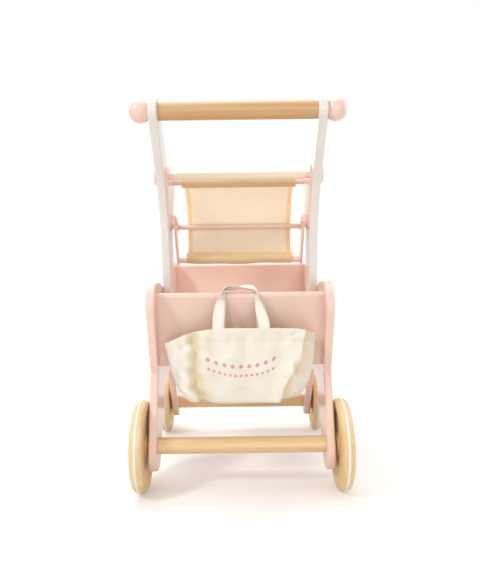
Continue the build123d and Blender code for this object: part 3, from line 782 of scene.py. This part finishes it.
# Stations of each strap: its centre (x, y, z) and the direction across it
FRONT_STRAP = [
    (-.0312, -.1682, .2270, 1, 0, 0),
    (-.0312, -.1682, .2440, 1, 0, 0),
    (-.0305, -.1605, .2600, 1, .05, 0),
    (-.0290, -.1490, .2745, .85, .5, 0),
    (-.0272, -.1370, .2860, .35, .93, 0),
    (-.0258, -.1290, .2925, .05, 1, 0),
    (-.0205, -.1240, .2968, 0, 1, -.28),
    (-.0100, -.1225, .2986, 0, 1, -.32),
    (.0060, -.1225, .2992, 0, 1, .22),
    (.0190, -.1240, .2976, 0, 1, .36),
    (.0250, -.1300, .2925, .05, 1, 0),
    (.0262, -.1400, .2825, -.25, .96, 0),
    (.0276, -.1510, .2700, -.75, .65, 0),
    (.0315, -.1610, .2570, -1, .1, 0),
    (.0335, -.1680, .2440, -1, 0, 0),
    (.0335, -.1682, .2270, -1, 0, 0),
]
BACK_STRAP = [
    (-.0300, -.1345, .2270, 1, 0, 0),
    (-.0300, -.1345, .2420, 1, 0, 0),
    (-.0296, -.1342, .2580, 1, .02, 0),
    (-.0286, -.1340, .2720, .9, .15, 0),
    (-.0262, -.1330, .2850, .6, .6, .25),
    (-.0228, -.1275, .2925, .1, 1, .1),
    (-.0160, -.1215, .2952, 0, 1, -.28),
    (-.0060, -.1200, .2964, 0, 1, -.30),
    (.0080, -.1200, .2968, 0, 1, .22),
    (.0165, -.1215, .2952, 0, 1, .32),
    (.0236, -.1275, .2920, -.1, 1, .1),
    (.0268, -.1330, .2850, -.6, .6, .25),
    (.0290, -.1340, .2720, -.9, .15, 0),
    (.0310, -.1342, .2580, -1, .02, 0),
    (.0315, -.1345, .2420, -1, 0, 0),
    (.0315, -.1345, .2270, -1, 0, 0),
]
STRAP_WIDTH, STRAP_THICKNESS = 0.0165, 0.0018
STRAP_STEPS, STRAP_COLUMNS = 84, 8
STRAP_EDGE_LOSS, STRAP_EDGE_POWER = 0.6, 8  # the strap thins close to its edges
STRAP_HEM_FROM = 0.7  # share of the half-width past which the edge is hemmed


def strap(node, stations):
    """One webbing strap along its stations, which takes the place of a node of the bag."""
    line = smooth_line(stations, STRAP_STEPS)
    centres = [Vector(station[:3]) for station in line]
    rows, uvs, hems = [], [], []
    run = 0.0
    for i, station in enumerate(line):
        side = Vector(station[3:]).normalized()
        ahead = centres[min(i + 1, STRAP_STEPS)] - centres[max(i - 1, 0)]
        face = side.cross(ahead).normalized()
        if i:
            run += (centres[i] - centres[i - 1]).length
        row, uv, hem = [], [], []
        for sign in (1, -1):
            for k in range(STRAP_COLUMNS + 1):
                share = sign * (2 * k / STRAP_COLUMNS - 1)
                half = STRAP_THICKNESS / 2 * (1 - STRAP_EDGE_LOSS * share ** STRAP_EDGE_POWER)
                row.append(tuple(centres[i] + side * share * STRAP_WIDTH / 2 + face * sign * half))
                uv.append((STRAP_WIDTH * (0.5 + share / 2) + (0 if sign > 0 else STRAP_WIDTH), run))
                hem.append(1.0 if abs(share) > STRAP_HEM_FROM else 0.0)
        rows.append(row)
        uvs.append(uv)
        hems.append(hem)
    made = grid_mesh(node + "_webbing", rows, uvs, hems, closed=True)
    wide = len(rows[0])
    close_rings(made.data, [0, STRAP_STEPS * wide], wide, smooth_faces=False)
    refine(made)
    apply_modifiers(made)
    made.data.materials.append(webbing)
    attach(made, "bag")
    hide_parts(node)


strap("bag_front_strap", FRONT_STRAP)
strap("bag_back_strap", BACK_STRAP)

# Floor: the camera sees a white one that fades into the background, and a duller one throws light back
FLOOR_HALF = 6.0
FLOOR_DEEP, FLOOR_LIGHT = (0.86, 0.85, 0.84), (0.90, 0.89, 0.88)
FLOOR_BOUNCE = (0.74, 0.715, 0.69)
FLOOR_GLOW = (1, 1, 1, 1)
FLOOR_GLOW_NEAR, FLOOR_GLOW_FAR = 0.17, 1.0
FADE_FROM, FADE_TO = 0.55, 1.5
BLACK = (0.0, 0.0, 0.0)


def floor_material():
    """White with a faint cloudiness, glowing evenly away from the stroller."""
    s = Shader(bpy.data.materials.new("floor"))
    seen = s.seen()
    cloud = s.noise(s.place((3, 3, 3)))
    shown = s.ramp(cloud, (NOISE_LOW, FLOOR_DEEP), (NOISE_HIGH, FLOOR_LIGHT))
    middle = s.node("TexCoord").outputs["Object"]
    away = s.node("VectorMath", {0: middle}, operation="LENGTH").outputs["Value"]
    far = s.math("MULTIPLY", s.spread(away, FADE_FROM, FADE_TO), seen)
    glow = s.spread(far, 0.0, 1.0, FLOOR_GLOW_NEAR, FLOOR_GLOW_FAR)
    s.surface(
        Base_Color=s.mix(far, s.mix(seen, FLOOR_BOUNCE, shown), BLACK),
        Roughness=0.9,
        Specular_IOR_Level=0.0,
        Emission_Color=FLOOR_GLOW,
        Emission_Strength=s.math("MULTIPLY", seen, glow),
    )
    return s.owner


floor_mesh = bpy.data.meshes.new("floor")
corners = [(x * FLOOR_HALF, y * FLOOR_HALF, 0) for x, y in ((-1, -1), (1, -1), (1, 1), (-1, 1))]
floor_mesh.from_pydata(corners, [], [(0, 1, 2, 3)])
floor_mesh.materials.append(floor_material())
floor = bpy.data.objects.new("floor", floor_mesh)
scene.collection.objects.link(floor)

# World: plain white where it is seen, and a softer warm white for the light it gives
WORLD_LIGHT, WORLD_STRENGTH = (1.0, 0.98, 0.96, 1), 0.5
WORLD_SHOWN = (1, 1, 1, 1)


def studio():
    """A world with one background to be seen and another to give light."""
    world = bpy.data.worlds.new("studio")
    s = Shader(world, "OutputWorld")
    light = s.node("Background", {"Color": WORLD_LIGHT, "Strength": WORLD_STRENGTH}).outputs[0]
    shown = s.node("Background", {"Color": WORLD_SHOWN, "Strength": 1.0}).outputs[0]
    chosen = s.node("MixShader", {0: s.seen(), 1: light, 2: shown}).outputs[0]
    s.put(s.out.inputs["Surface"], chosen)
    return world


scene.world = studio()

# Lamps: name, place, what it points at, width and height in metres, power in watts and colour
LAMPS = (
    ("overhead", (-0.2, 0.3, 2.1), (0, 0, 0.2), (1.8, 1.8), 23.0, (1.0, 0.995, 0.985)),
    ("key", (-1.35, -1.3, 1.55), (0, 0, 0.25), (0.35, 0.35), 15.0, (1.0, 0.99, 0.97)),
    ("window", (-0.9, 1.6, 1.1), (0, 0, 0.3), (1.4, 1.2), 11.5, (1.0, 0.995, 0.985)),
    ("fill", (0.3, -2.0, 0.60), (0, 0, 0.35), (1.6, 1.2), 10.5, (1.0, 0.985, 0.97)),
    ("side", (1.8, 0.4, 1.0), (0, 0, 0.3), (1.4, 1.2), 10.0, (1.0, 0.99, 0.98)),
)
for name, place, target, size, power, colour in LAMPS:
    data = bpy.data.lights.new(name, "AREA")
    data.shape = "RECTANGLE"
    data.size, data.size_y = size
    data.energy = power
    data.color = colour
    lamp = bpy.data.objects.new(name, data)
    lamp.location = place
    lamp.rotation_euler = (Vector(target) - Vector(place)).to_track_quat("-Z", "Y").to_euler()
    scene.collection.objects.link(lamp)

# Camera, behind the stroller as in the photograph: its focal length and the picture's height are in pixels
FOCAL_LENGTH, PICTURE_HEIGHT = 560.0, 577.0
SENSOR_HEIGHT = 24.0
CAMERA_BACK = 0.810  # behind the rear axle
CAMERA_HEIGHT = 0.344
CAMERA_DOWN, CAMERA_ROLL = 3.3, -0.7
LEVEL = 90.0  # degrees about X that turn a camera from straight down to level

camera_data = bpy.data.cameras.new("camera")
camera_data.sensor_fit = "VERTICAL"
camera_data.sensor_height = SENSOR_HEIGHT
camera_data.lens = SENSOR_HEIGHT * FOCAL_LENGTH / PICTURE_HEIGHT
camera = bpy.data.objects.new("camera", camera_data)
stand = Matrix.Translation((0.0, REAR_AXLE_Y - CAMERA_BACK, CAMERA_HEIGHT))
pitch = Matrix.Rotation(math.radians(LEVEL - CAMERA_DOWN), 4, "X")
roll = Matrix.Rotation(math.radians(CAMERA_ROLL), 4, "Z")
camera.matrix_world = stand @ pitch @ roll
scene.collection.objects.link(camera)
scene.camera = camera
scene.view_settings.view_transform = "Standard"
